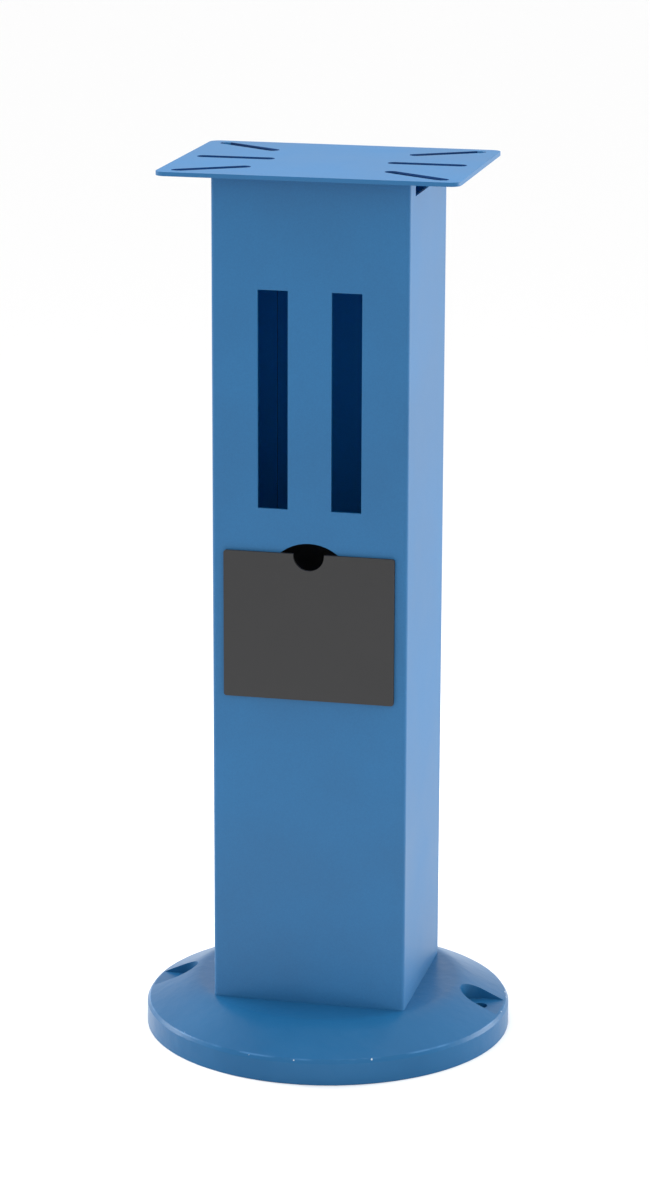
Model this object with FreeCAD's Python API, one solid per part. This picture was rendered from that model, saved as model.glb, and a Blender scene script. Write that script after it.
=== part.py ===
import FreeCAD, Part
import math
import os

from FreeCAD import Vector

# Floor stand for a bench grinder: a round cast-iron base, a folded sheet-steel
# column, a slotted top plate and a moulded pull-out tray.
# Millimetres. The origin is on the floor under the middle of the column.
# +Z is up, -Y is the front where the tray pulls out, +X is the right-hand side.

# ---------------------------------------------------------------- driving sizes
# Round cast base
BASE_RADIUS = 180.0
BASE_RIM_HEIGHT = 24.0
BASE_RIM_CHAMFER = 2.5
PLATEAU_HEIGHT = 47.0
PLATEAU_MARGIN = 1.5            # flat left outside the corners of the column
BASE_SKIN = 8.0
BASE_RIM_WALL = 7.0
BASE_RIM_DRAFT = 1.0            # the rim wall is thinner by this at the floor
BASE_WEB_COUNT = 4
BASE_WEB_THICKNESS = 8.0
BASE_HUB_RADIUS = 20.0
BOLT_BOSS_RADIUS = 15.0
BOSS_DROP = 5.0                 # bosses, webs and hub end this far under the skin

# Anchor pockets sunk into the slope of the base, one on each side
ANCHOR_INSET = 25.5             # from the edge of the base to each anchor hole
ANCHOR_POCKET_WIDTH = 40.0
ANCHOR_HOLE_DIAMETER = 14.0
ANCHOR_FLOOR_HEIGHT = 26.0
ANCHOR_BOSS_WALL = 5.0

# Folded column
COLUMN_WIDTH = 190.0
COLUMN_DEPTH = 174.0
COLUMN_HEIGHT = 809.0
COLUMN_SHEET = 2.5
BEND_RADIUS = 4.0               # outside radius of every fold of the column
REAR_FLANGE_WIDTH = 20.0
REAR_PANEL_SHEET = 2.0
REAR_PANEL_GAP = 2.0            # between the rear panel and the edges it covers

# Two upright slots in the front of the column
FRONT_SLOT_WIDTH = 29.0
FRONT_SLOT_SPACING = 71.0
FRONT_SLOT_DROP = 106.0         # from the top of the column to the slots
FRONT_SLOT_RISE = 32.0          # from the finger cut-out over the tray to the slots

# Relief under the top plate in both sides of the column
SIDE_NOTCH_LENGTH = 130.0
SIDE_NOTCH_DEPTH = 16.5

# Top plate and its fan of mounting slots
PLATE_WIDTH = 288.0
PLATE_DEPTH = 216.0
PLATE_THICKNESS = 4.0
PLATE_CORNER_RADIUS = 10.0
PLATE_SLOT_WIDTH = 10.0
SLOT_SIDE_MARGIN = 15.0         # from the outer tips of all slots to the plate's side edge
SLOT_END_MARGIN = 14.0          # from the tips of the angled slots to its front or rear edge
MIDDLE_SLOT_LENGTH = 73.0
ANGLED_SLOT_RUN_X = 63.0        # how far each angled slot runs along X and along Y
ANGLED_SLOT_RUN_Y = 40.0

# Folded bearers welded under the plate, inside the column
BEARER_SHEET = 3.0
BEARER_WEB_HEIGHT = 30.0
BEARER_LEDGE_WIDTH = 24.0
BEARER_LEDGE_LENGTH = 108.0
BEARER_END_GAP = 2.5

# Tray and the opening that it slides in
TRAY_WIDTH = 148.0
TRAY_DEPTH = 142.0
TRAY_BIN_HEIGHT = 122.0
TRAY_WALL = 2.5
TRAY_DRAFT = 2.5                # each side of the bin leans in by this at its floor
TRAY_CORNER_RADIUS = 9.0
TRAY_SIDE_CLEARANCE = 1.5
TRAY_TOP_CLEARANCE = 3.0
TRAY_FLOOR_HEIGHT = 364.0       # underside of the tray above the ground
TRAY_FRONT_WIDTH = 166.0
TRAY_FRONT_HEIGHT = 143.5
TRAY_FRONT_THICKNESS = 3.0
TRAY_FRONT_RADIUS = 2.5
TRAY_FRONT_OVERLAP = 8.5        # how far the front hangs below the tray floor
FINGER_NOTCH_RADIUS = 15.0
FINGER_NOTCH_DEPTH = 16.0
FINGER_ARC_RADIUS = 44.0
FINGER_ARC_RISE = 10.0          # top of the cut-out above the tray front
STOP_LUG_REACH = 4.0            # how far each snap lug stands past the opening
STOP_LUG_LENGTH = 10.0
STOP_LUG_HEIGHT = 16.0
STOP_LUG_DROP = 10.0

# Folded runners that carry and guide the tray
RUNNER_SHEET = 2.0
RUNNER_LEDGE_WIDTH = 16.0
RUNNER_GUIDE_HEIGHT = 28.0
RUNNER_FLANGE_HEIGHT = 22.0
RUNNER_BEND_RADIUS = 3.0

# Foot plate welded into the bottom of the column
FOOT_PLATE_THICKNESS = 6.0
FOOT_PLATE_GAP = 0.3
FOOT_PLATE_CHAMFER = 8.0

# M10 hexagon fasteners between the base and the column
COLUMN_BOLT_SPACING_X = 130.0
COLUMN_BOLT_SPACING_Y = 114.0
BOLT_DIAMETER = 10.0
BOLT_HOLE_DIAMETER = 11.0
BOLT_HEAD_ACROSS = 17.0
BOLT_HEAD_HEIGHT = 6.4
BOLT_PROTRUSION = 3.0           # thread left above the weld nut
WELD_NUT_HEIGHT = 8.0
SPRING_WASHER_DIAMETER = 18.1
SPRING_WASHER_THICKNESS = 2.2
SPRING_WASHER_GAP = 2.0
THREAD_FIT = 0.05               # radial clearance of every thread in its nut

# M5 fasteners of the rear panel
PANEL_SCREW_ROWS = 2
PANEL_SCREW_END = 110.0         # first and last screw from the ends of the panel
PANEL_SCREW_DIAMETER = 5.0
PANEL_SCREW_LENGTH = 12.0
PANEL_HOLE_DIAMETER = 5.5
PANEL_SCREW_HEAD_ACROSS = 8.0
PANEL_SCREW_HEAD_HEIGHT = 3.5
PANEL_NUT_ACROSS = 9.0          # square weld nuts
PANEL_NUT_HEIGHT = 4.2

CUT = 1.0                       # overrun of every cutting tool
SEAM_ANGLE = 78.0               # direction of the seam of turned faces
NEAR = 0.01                     # places and radii closer than this are the same
UP = Vector(0, 0, 1)
BACK = Vector(0, 1, 0)

# --------------------------------------------------------------- derived places
COLUMN_BOTTOM = PLATEAU_HEIGHT
COLUMN_TOP = COLUMN_BOTTOM + COLUMN_HEIGHT
PLATE_TOP = COLUMN_TOP + PLATE_THICKNESS
HALF_WIDTH = COLUMN_WIDTH / 2
FRONT_FACE = -COLUMN_DEPTH / 2
REAR_FACE = COLUMN_DEPTH / 2
FRONT_INSIDE = FRONT_FACE + COLUMN_SHEET
SIDE_INSIDE = HALF_WIDTH - COLUMN_SHEET
FLANGE_OUTSIDE = REAR_FACE - REAR_PANEL_SHEET
FLANGE_INSIDE = FLANGE_OUTSIDE - COLUMN_SHEET
INNER_BEND = BEND_RADIUS - COLUMN_SHEET

PLATEAU_RADIUS = math.hypot(HALF_WIDTH, REAR_FACE) + PLATEAU_MARGIN
SLOPE_ANGLE = math.atan2(PLATEAU_HEIGHT - BASE_RIM_HEIGHT, BASE_RADIUS - PLATEAU_RADIUS)
PLATEAU_UNDERSIDE = PLATEAU_HEIGHT - BASE_SKIN
BOSS_UNDERSIDE = PLATEAU_UNDERSIDE - BOSS_DROP
ANCHOR_RADIUS = BASE_RADIUS - ANCHOR_INSET

PANEL_FRONT_BOTTOM = TRAY_FLOOR_HEIGHT - TRAY_FRONT_OVERLAP
PANEL_FRONT_TOP = PANEL_FRONT_BOTTOM + TRAY_FRONT_HEIGHT
TRAY_RIM = TRAY_FLOOR_HEIGHT + TRAY_BIN_HEIGHT
OPENING_HALF_WIDTH = TRAY_WIDTH / 2 + TRAY_SIDE_CLEARANCE
OPENING_BOTTOM = TRAY_FLOOR_HEIGHT - RUNNER_SHEET
OPENING_TOP = TRAY_RIM + TRAY_TOP_CLEARANCE
TRAY_BACK = FRONT_FACE + TRAY_DEPTH
FINGER_ARC_TOP = PANEL_FRONT_TOP + FINGER_ARC_RISE
FRONT_SLOT_BOTTOM = FINGER_ARC_TOP + FRONT_SLOT_RISE
FRONT_SLOT_TOP = COLUMN_TOP - FRONT_SLOT_DROP

SLOT_OUTER = PLATE_WIDTH / 2 - SLOT_SIDE_MARGIN
MIDDLE_SLOT_INNER = SLOT_OUTER - MIDDLE_SLOT_LENGTH
ANGLED_SLOT_INNER_X = SLOT_OUTER - ANGLED_SLOT_RUN_X
ANGLED_SLOT_OUTER_Y = PLATE_DEPTH / 2 - SLOT_END_MARGIN
ANGLED_SLOT_INNER_Y = ANGLED_SLOT_OUTER_Y - ANGLED_SLOT_RUN_Y

PANEL_SCREW_X = SIDE_INSIDE - REAR_FLANGE_WIDTH / 2
COLUMN_BOLT_PLACES = [
    (sx * COLUMN_BOLT_SPACING_X / 2, sy * COLUMN_BOLT_SPACING_Y / 2)
    for sx in (-1, 1) for sy in (-1, 1)
]


def panel_screw_places():
    """Screw centres (x, z) of the rear panel, in two upright rows."""
    first = COLUMN_BOTTOM + REAR_PANEL_GAP + PANEL_SCREW_END
    last = COLUMN_TOP - REAR_PANEL_GAP - PANEL_SCREW_END
    pitch = (last - first) / (PANEL_SCREW_ROWS - 1)
    return [
        (side * PANEL_SCREW_X, first + row * pitch)
        for side in (-1, 1) for row in range(PANEL_SCREW_ROWS)
    ]


# --------------------------------------------------------------------- helpers
def box(x_low, x_high, y_low, y_high, z_low, z_high):
    """Box between two corners."""
    size = (x_high - x_low, y_high - y_low, z_high - z_low)
    return Part.makeBox(*size, Vector(x_low, y_low, z_low))


def edges_along(solid, axis):
    """Straight edges of a solid that run along an axis."""
    return [e for e in solid.Edges if e.tangentAt(e.FirstParameter).cross(axis).Length < NEAR]


def rounded_box(x_low, x_high, y_low, y_high, z_low, z_high, radius, axis):
    """Box whose four edges along one axis are rounded."""
    solid = box(x_low, x_high, y_low, y_high, z_low, z_high)
    return solid.makeFillet(radius, edges_along(solid, axis))


def disc(radius, x, y, z_low, z_high):
    """Upright cylinder between two heights."""
    return Part.makeCylinder(radius, z_high - z_low, Vector(x, y, z_low))


def hexagon(across, x, y, z_low, z_high):
    """Upright hexagonal prism measured across its flats."""
    corner = across / math.sqrt(3)
    turns = [math.radians(60 * k) for k in range(7)]
    points = [Vector(x + corner * math.cos(a), y + corner * math.sin(a), z_low) for a in turns]
    return Part.Face(Part.makePolygon(points)).extrude(Vector(0, 0, z_high - z_low))


def turned(points):
    """Solid turned about Z from a closed outline of (radius, height) points.

    The outline starts at SEAM_ANGLE, so that the seam of every turned face lies
    between the webs and pockets and not on one of them.
    """
    turn = math.radians(SEAM_ANGLE)
    outline = [Vector(r * math.cos(turn), r * math.sin(turn), z) for r, z in points]
    face = Part.Face(Part.makePolygon(outline + outline[:1]))
    return face.revolve(Vector(0, 0, 0), UP, 360)


def about_y(solid, y_start):
    """Turns a shape built upward from z = 0 to point along +Y from y_start."""
    turned = solid.copy()
    turned.rotate(Vector(0, 0, 0), Vector(1, 0, 0), -90)
    turned.translate(Vector(0, y_start, 0))
    return turned


def mirrored_x(solid):
    """The same piece on the other side of the stand."""
    return solid.mirror(Vector(0, 0, 0), Vector(1, 0, 0))


# ---------------------------------------------------------------- base casting
def slope_height(radius):
    """Height of the sloping top of the base at a distance from its middle."""
    return PLATEAU_HEIGHT - (radius - PLATEAU_RADIUS) * math.tan(SLOPE_ANGLE)


def base_outside():
    """Upright rim with a chamfer, sloping shoulder and flat plateau."""
    return turned([
        (0, 0),
        (BASE_RADIUS, 0),
        (BASE_RADIUS, BASE_RIM_HEIGHT - BASE_RIM_CHAMFER),
        (BASE_RADIUS - BASE_RIM_CHAMFER, slope_height(BASE_RADIUS - BASE_RIM_CHAMFER)),
        (PLATEAU_RADIUS, PLATEAU_HEIGHT),
        (0, PLATEAU_HEIGHT),
    ])


def under_skin(skin, bottom):
    """Turned solid whose top follows the base at a constant depth below its surface."""
    skin_drop = skin / math.cos(SLOPE_ANGLE)
    plateau_inside = PLATEAU_RADIUS - skin * math.tan(SLOPE_ANGLE / 2)
    wall_inside = BASE_RADIUS - BASE_RIM_WALL * skin / BASE_SKIN
    return turned([
        (0, bottom),
        (wall_inside + BASE_RIM_DRAFT, bottom),
        (wall_inside, slope_height(wall_inside) - skin_drop),
        (plateau_inside, PLATEAU_HEIGHT - skin),
        (0, PLATEAU_HEIGHT - skin),
    ])


def base_webs():
    """Low radial webs under the skin, from the hub out to the slope."""
    web = box(0, BASE_RADIUS - BASE_RIM_WALL, -BASE_WEB_THICKNESS / 2, BASE_WEB_THICKNESS / 2,
              BOSS_UNDERSIDE, PLATEAU_HEIGHT)
    webs = []
    for k in range(BASE_WEB_COUNT):
        placed = web.copy()
        placed.rotate(Vector(0, 0, 0), UP, 360 * k / BASE_WEB_COUNT)
        webs.append(placed)
    return webs


def anchor_pocket(side):
    """U-shaped pocket that runs out into the slope, with its floor spot-faced flat."""
    half = ANCHOR_POCKET_WIDTH / 2
    top = PLATEAU_HEIGHT + CUT
    round_end = disc(half, side * ANCHOR_RADIUS, 0, ANCHOR_FLOOR_HEIGHT, top)
    x_low, x_high = sorted((side * ANCHOR_RADIUS, side * (BASE_RADIUS + CUT)))
    run_out = box(x_low, x_high, -half, half, ANCHOR_FLOOR_HEIGHT, top)
    return round_end.fuse(run_out)


def base_casting():
    skin = base_outside().cut(under_skin(BASE_SKIN, -CUT))
    inner = [disc(BASE_HUB_RADIUS, 0, 0, BOSS_UNDERSIDE, PLATEAU_HEIGHT)]
    inner += base_webs()
    for x, y in COLUMN_BOLT_PLACES:
        inner.append(disc(BOLT_BOSS_RADIUS, x, y, BOSS_UNDERSIDE, PLATEAU_HEIGHT))
    for side in (-1, 1):
        boss_radius = ANCHOR_POCKET_WIDTH / 2 + ANCHOR_BOSS_WALL
        inner.append(disc(boss_radius, side * ANCHOR_RADIUS, 0, 0, PLATEAU_HEIGHT))
    # The webs and bosses end half way into the skin, where they join it.
    core = inner[0].multiFuse(inner[1:]).common(under_skin(BASE_SKIN / 2, 0))
    solid = skin.fuse(core)
    tools = [
        disc(BOLT_HOLE_DIAMETER / 2, x, y, -CUT, PLATEAU_HEIGHT + CUT)
        for x, y in COLUMN_BOLT_PLACES
    ]
    for side in (-1, 1):
        tools.append(anchor_pocket(side))
        tools.append(disc(ANCHOR_HOLE_DIAMETER / 2, side * ANCHOR_RADIUS, 0, -CUT, PLATEAU_HEIGHT))
    for tool in tools:
        solid = solid.cut(tool)
    return solid


# --------------------------------------------------------------- folded column
def column_front():
    """Front and both sides in one folded sheet, with flanges turned in at the rear."""
    outer = rounded_box(-HALF_WIDTH, HALF_WIDTH, FRONT_FACE, FLANGE_OUTSIDE,
                        COLUMN_BOTTOM, COLUMN_TOP, BEND_RADIUS, UP)
    inner = rounded_box(-SIDE_INSIDE, SIDE_INSIDE, FRONT_INSIDE, FLANGE_INSIDE,
                        COLUMN_BOTTOM - CUT, COLUMN_TOP + CUT, INNER_BEND, UP)
    flange_tip = SIDE_INSIDE - REAR_FLANGE_WIDTH
    tools = [
        inner,
        box(-flange_tip, flange_tip, 0, REAR_FACE + CUT, COLUMN_BOTTOM - CUT, COLUMN_TOP + CUT),
        box(-HALF_WIDTH - CUT, HALF_WIDTH + CUT, -SIDE_NOTCH_LENGTH / 2, SIDE_NOTCH_LENGTH / 2,
            COLUMN_TOP - SIDE_NOTCH_DEPTH, COLUMN_TOP + CUT),
    ]
    wall = (FRONT_FACE - CUT, FRONT_INSIDE + CUT)
    for side in (-1, 1):
        middle = side * FRONT_SLOT_SPACING / 2
        tools.append(box(middle - FRONT_SLOT_WIDTH / 2, middle + FRONT_SLOT_WIDTH / 2, *wall,
                         FRONT_SLOT_BOTTOM, FRONT_SLOT_TOP))
    tools.append(box(-OPENING_HALF_WIDTH, OPENING_HALF_WIDTH, *wall, OPENING_BOTTOM, OPENING_TOP))
    arc = about_y(disc(FINGER_ARC_RADIUS, 0, 0, 0, wall[1] - wall[0]), wall[0])
    arc.translate(Vector(0, 0, FINGER_ARC_TOP - FINGER_ARC_RADIUS))
    tools.append(arc)
    for x, z in panel_screw_places():
        hole = disc(PANEL_HOLE_DIAMETER / 2, 0, 0, 0, COLUMN_SHEET + 2 * CUT)
        hole = about_y(hole, FLANGE_INSIDE - CUT)
        hole.translate(Vector(x, 0, z))
        tools.append(hole)
    return outer.cut(tools[0].multiFuse(tools[1:])).removeSplitter()


def column_rear_panel():
    """Flat access panel screwed over the rear of the column."""
    half = HALF_WIDTH - REAR_PANEL_GAP
    panel = rounded_box(-half, half, FLANGE_OUTSIDE, REAR_FACE, COLUMN_BOTTOM + REAR_PANEL_GAP,
                        COLUMN_TOP - REAR_PANEL_GAP, BEND_RADIUS, BACK)
    for x, z in panel_screw_places():
        hole = disc(PANEL_HOLE_DIAMETER / 2, 0, 0, 0, REAR_PANEL_SHEET + 2 * CUT)
        hole = about_y(hole, FLANGE_OUTSIDE - CUT)
        hole.translate(Vector(x, 0, z))
        panel = panel.cut(hole)
    return panel


def rear_panel_screws():
    """Hexagon-head screws, one for each hole of the panel."""
    screws = []
    shank_radius = PANEL_SCREW_DIAMETER / 2 - THREAD_FIT
    for x, z in panel_screw_places():
        head = hexagon(PANEL_SCREW_HEAD_ACROSS, 0, 0, 0, PANEL_SCREW_HEAD_HEIGHT)
        shank = disc(shank_radius, 0, 0, -PANEL_SCREW_LENGTH, 0)
        screw = about_y(head.fuse(shank), REAR_FACE)
        screw.translate(Vector(x, 0, z))
        screws.append(screw)
    return Part.makeCompound(screws)


def rear_panel_nuts():
    """Square weld nuts on the inside of the rear flanges."""
    nuts = []
    half = PANEL_NUT_ACROSS / 2
    for x, z in panel_screw_places():
        block = box(-half, half, -half, half, 0, PANEL_NUT_HEIGHT)
        thread = disc(PANEL_SCREW_DIAMETER / 2, 0, 0, -CUT, PANEL_NUT_HEIGHT + CUT)
        nut = about_y(block.cut(thread), FLANGE_INSIDE - PANEL_NUT_HEIGHT)
        nut.translate(Vector(x, 0, z))
        nuts.append(nut)
    return Part.makeCompound(nuts)


# ------------------------------------------------------------------ top of column
def plate_slot(inner, outer):
    """Cutter for one round-ended slot between its two tips, through the plate."""
    reach = Vector(outer[0] - inner[0], outer[1] - inner[1], 0)
    half = PLATE_SLOT_WIDTH / 2
    run = reach.Length - PLATE_SLOT_WIDTH
    low, high = COLUMN_TOP - CUT, PLATE_TOP + CUT
    slot = box(0, run, -half, half, low, high)
    slot = slot.fuse([disc(half, 0, 0, low, high), disc(half, run, 0, low, high)])
    slot.rotate(Vector(0, 0, 0), UP, math.degrees(math.atan2(reach.y, reach.x)))
    tip = Vector(reach).normalize() * half
    slot.translate(Vector(inner[0], inner[1], 0) + tip)
    return slot


def top_plate():
    """Flat plate with a fan of three slots on each side."""
    plate = rounded_box(-PLATE_WIDTH / 2, PLATE_WIDTH / 2, -PLATE_DEPTH / 2, PLATE_DEPTH / 2,
                        COLUMN_TOP, PLATE_TOP, PLATE_CORNER_RADIUS, UP)
    for side in (-1, 1):
        slots = [plate_slot((side * MIDDLE_SLOT_INNER, 0), (side * SLOT_OUTER, 0))]
        for end in (-1, 1):
            slots.append(plate_slot((side * ANGLED_SLOT_INNER_X, end * ANGLED_SLOT_INNER_Y),
                                    (side * SLOT_OUTER, end * ANGLED_SLOT_OUTER_Y)))
        for slot in slots:
            plate = plate.cut(slot)
    return plate


def plate_bearer(wall, inward):
    """Folded bearer: its web lies on a wall of the column, its ledge under the plate."""
    half_web = SIDE_INSIDE - BEARER_END_GAP
    half_ledge = BEARER_LEDGE_LENGTH / 2
    near, far = sorted((wall, wall + inward * BEARER_SHEET))
    web = box(-half_web, half_web, near, far, COLUMN_TOP - BEARER_WEB_HEIGHT, COLUMN_TOP - BEARER_SHEET)
    near, far = sorted((wall, wall + inward * BEARER_LEDGE_WIDTH))
    ledge = box(-half_ledge, half_ledge, near, far, COLUMN_TOP - BEARER_SHEET, COLUMN_TOP)
    bearer = web.fuse(ledge).removeSplitter()
    inner_corner = [
        e for e in bearer.Edges
        if abs(e.CenterOfMass.y - (wall + inward * BEARER_SHEET)) < NEAR
        and abs(e.CenterOfMass.z - (COLUMN_TOP - BEARER_SHEET)) < NEAR
        and abs(e.CenterOfMass.x) < NEAR
    ]
    return bearer.makeFillet(BEARER_SHEET / 2, inner_corner)


# ------------------------------------------------------------------------- tray
def tray_bin():
    """One-piece moulded bin with its flat front, finger notch and two snap lugs."""
    radius = TRAY_CORNER_RADIUS

    def bin_section(side_inset, end_inset, height, corner):
        half = TRAY_WIDTH / 2 - side_inset
        front = FRONT_FACE
        back = TRAY_BACK - end_inset
        turn = corner * (1 - math.sqrt(0.5))
        edges = [
            Part.LineSegment(Vector(-half, front, height), Vector(half, front, height)),
            Part.LineSegment(Vector(half, front, height), Vector(half, back - corner, height)),
            Part.Arc(Vector(half, back - corner, height), Vector(half - turn, back - turn, height),
                     Vector(half - corner, back, height)),
            Part.LineSegment(Vector(half - corner, back, height), Vector(corner - half, back, height)),
            Part.Arc(Vector(corner - half, back, height), Vector(turn - half, back - turn, height),
                     Vector(-half, back - corner, height)),
            Part.LineSegment(Vector(-half, back - corner, height), Vector(-half, front, height)),
        ]
        return Part.Wire([edge.toShape() for edge in edges])

    outside = Part.makeLoft([
        bin_section(TRAY_DRAFT, TRAY_DRAFT, TRAY_FLOOR_HEIGHT, radius),
        bin_section(0, 0, TRAY_RIM, radius),
    ], True, True)
    floor_inset = TRAY_DRAFT + TRAY_WALL
    inside = Part.makeLoft([
        bin_section(floor_inset, floor_inset, TRAY_FLOOR_HEIGHT + TRAY_WALL, radius - TRAY_WALL),
        bin_section(TRAY_WALL, TRAY_WALL, TRAY_RIM + CUT, radius - TRAY_WALL),
    ], True, True)
    half_front = TRAY_FRONT_WIDTH / 2
    front = rounded_box(-half_front, half_front, FRONT_FACE - TRAY_FRONT_THICKNESS, FRONT_FACE,
                        PANEL_FRONT_BOTTOM, PANEL_FRONT_TOP, TRAY_FRONT_RADIUS, BACK)
    notch_depth = TRAY_FRONT_THICKNESS + TRAY_WALL + 2 * CUT
    notch_start = FRONT_FACE - TRAY_FRONT_THICKNESS - CUT
    notch_centre = PANEL_FRONT_TOP - FINGER_NOTCH_DEPTH + FINGER_NOTCH_RADIUS
    notch = about_y(disc(FINGER_NOTCH_RADIUS, 0, 0, 0, notch_depth), notch_start)
    notch.translate(Vector(0, 0, notch_centre))
    notch = notch.fuse(box(-FINGER_NOTCH_RADIUS, FINGER_NOTCH_RADIUS, notch_start,
                           notch_start + notch_depth, notch_centre, PANEL_FRONT_TOP + CUT))
    tray = outside.cut(inside).fuse(front)
    for side in (-1, 1):
        tray = tray.fuse(stop_lug(side))
    return tray.cut(notch).removeSplitter()


def stop_lug(side):
    """Wedge on the side of the bin that meets the back of the column front."""
    root = TRAY_WIDTH / 2 - TRAY_WALL
    tip = OPENING_HALF_WIDTH + STOP_LUG_REACH
    front_edge = TRAY_BACK - TRAY_CORNER_RADIUS - STOP_LUG_LENGTH
    top = TRAY_RIM - STOP_LUG_DROP
    outline = [
        Vector(side * root, front_edge, top - STOP_LUG_HEIGHT),
        Vector(side * tip, front_edge, top - STOP_LUG_HEIGHT),
        Vector(side * root, front_edge + STOP_LUG_LENGTH, top - STOP_LUG_HEIGHT),
    ]
    return Part.Face(Part.makePolygon(outline + outline[:1])).extrude(Vector(0, 0, STOP_LUG_HEIGHT))


def tray_runner_right():
    """Folded runner: ledge under the tray, guide beside it, flange on the column side."""
    guide_inside = OPENING_HALF_WIDTH
    guide_outside = guide_inside + RUNNER_SHEET
    ledge_top = TRAY_FLOOR_HEIGHT
    shelf_bottom = ledge_top + RUNNER_GUIDE_HEIGHT - RUNNER_SHEET
    shelf_top = ledge_top + RUNNER_GUIDE_HEIGHT
    flange_top = shelf_top + RUNNER_FLANGE_HEIGHT
    outline = [
        (guide_inside - RUNNER_LEDGE_WIDTH, ledge_top - RUNNER_SHEET),
        (guide_outside, ledge_top - RUNNER_SHEET),
        (guide_outside, shelf_bottom),
        (SIDE_INSIDE, shelf_bottom),
        (SIDE_INSIDE, flange_top),
        (SIDE_INSIDE - RUNNER_SHEET, flange_top),
        (SIDE_INSIDE - RUNNER_SHEET, shelf_top),
        (guide_inside, shelf_top),
        (guide_inside, ledge_top),
        (guide_inside - RUNNER_LEDGE_WIDTH, ledge_top),
    ]
    start = FRONT_INSIDE + INNER_BEND
    points = [Vector(x, start, z) for x, z in outline]
    runner = Part.Face(Part.makePolygon(points + points[:1])).extrude(Vector(0, TRAY_BACK - start, 0))
    outer_folds = [
        (guide_outside, ledge_top - RUNNER_SHEET),
        (SIDE_INSIDE, shelf_bottom),
        (guide_inside, shelf_top),
    ]
    inner_folds = [
        (guide_inside, ledge_top),
        (SIDE_INSIDE - RUNNER_SHEET, shelf_top),
        (guide_outside, shelf_bottom),
    ]

    def edges_at(corners):
        return [
            e for e in runner.Edges for x, z in corners
            if abs(e.CenterOfMass.x - x) < NEAR and abs(e.CenterOfMass.z - z) < NEAR
        ]

    runner = runner.makeFillet(RUNNER_BEND_RADIUS, edges_at(outer_folds))
    return runner.makeFillet(RUNNER_BEND_RADIUS - RUNNER_SHEET, edges_at(inner_folds))


def tray_runner_left():
    return mirrored_x(tray_runner_right())


# --------------------------------------------------- joint between base and column
def foot_plate():
    """Plate welded into the bottom of the column, drilled for the four bolts."""
    half = SIDE_INSIDE - FOOT_PLATE_GAP
    plate = box(-half, half, FRONT_INSIDE + FOOT_PLATE_GAP, FLANGE_INSIDE - FOOT_PLATE_GAP,
                COLUMN_BOTTOM, COLUMN_BOTTOM + FOOT_PLATE_THICKNESS)
    plate = plate.makeChamfer(FOOT_PLATE_CHAMFER, edges_along(plate, UP))
    for x, y in COLUMN_BOLT_PLACES:
        plate = plate.cut(disc(BOLT_HOLE_DIAMETER / 2, x, y, COLUMN_BOTTOM - CUT,
                               COLUMN_BOTTOM + FOOT_PLATE_THICKNESS + CUT))
    return plate


def foot_weld_nuts():
    bottom = COLUMN_BOTTOM + FOOT_PLATE_THICKNESS
    nuts = []
    for x, y in COLUMN_BOLT_PLACES:
        nut = hexagon(BOLT_HEAD_ACROSS, x, y, bottom, bottom + WELD_NUT_HEIGHT)
        nuts.append(nut.cut(disc(BOLT_DIAMETER / 2, x, y, bottom - CUT, bottom + WELD_NUT_HEIGHT + CUT)))
    return Part.makeCompound(nuts)


def base_bolts():
    """Hexagon bolts from under the base up into the weld nuts."""
    seat = BOSS_UNDERSIDE - SPRING_WASHER_THICKNESS
    tip = COLUMN_BOTTOM + FOOT_PLATE_THICKNESS + WELD_NUT_HEIGHT + BOLT_PROTRUSION
    bolts = []
    for x, y in COLUMN_BOLT_PLACES:
        head = hexagon(BOLT_HEAD_ACROSS, x, y, seat - BOLT_HEAD_HEIGHT, seat)
        shank = disc(BOLT_DIAMETER / 2 - THREAD_FIT, x, y, seat, tip)
        bolts.append(head.fuse(shank))
    return Part.makeCompound(bolts)


def base_spring_washers():
    low = BOSS_UNDERSIDE - SPRING_WASHER_THICKNESS
    washers = []
    for x, y in COLUMN_BOLT_PLACES:
        ring = disc(SPRING_WASHER_DIAMETER / 2, x, y, low, low + SPRING_WASHER_THICKNESS)
        ring = ring.cut(disc(BOLT_HOLE_DIAMETER / 2, x, y, low - CUT, low + SPRING_WASHER_THICKNESS + CUT))
        split = box(x, x + SPRING_WASHER_DIAMETER, y - SPRING_WASHER_GAP / 2, y + SPRING_WASHER_GAP / 2,
                    low - CUT, low + SPRING_WASHER_THICKNESS + CUT)
        washers.append(ring.cut(split))
    return Part.makeCompound(washers)


# ------------------------------------------------------------------------ export
def main():
    os.makedirs("parts", exist_ok=True)
    pieces = {
        "base_casting": base_casting(),
        "base_bolts": base_bolts(),
        "base_spring_washers": base_spring_washers(),
        "foot_plate": foot_plate(),
        "foot_weld_nuts": foot_weld_nuts(),
        "column_front": column_front(),
        "column_rear_panel": column_rear_panel(),
        "rear_panel_screws": rear_panel_screws(),
        "rear_panel_nuts": rear_panel_nuts(),
        "top_plate": top_plate(),
        "plate_bearer_front": plate_bearer(FRONT_INSIDE, 1),
        "plate_bearer_rear": plate_bearer(FLANGE_INSIDE, -1),
        "tray_runner_left": tray_runner_left(),
        "tray_runner_right": tray_runner_right(),
        "tray_bin": tray_bin(),
    }
    for name, shape in pieces.items():
        for solid in shape.Solids:
            if not solid.isValid():
                raise ValueError(name + " has a solid that is not valid")
        box_of = shape.BoundBox
        print(f"{name}: {len(shape.Solids)} solids, x {box_of.XMin:.1f}..{box_of.XMax:.1f}, "
              f"y {box_of.YMin:.1f}..{box_of.YMax:.1f}, z {box_of.ZMin:.1f}..{box_of.ZMax:.1f}, "
              f"{shape.Volume / 1000:.1f} cm3")
        shape.exportStep(os.path.join("parts", name + ".step"))


main()
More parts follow.
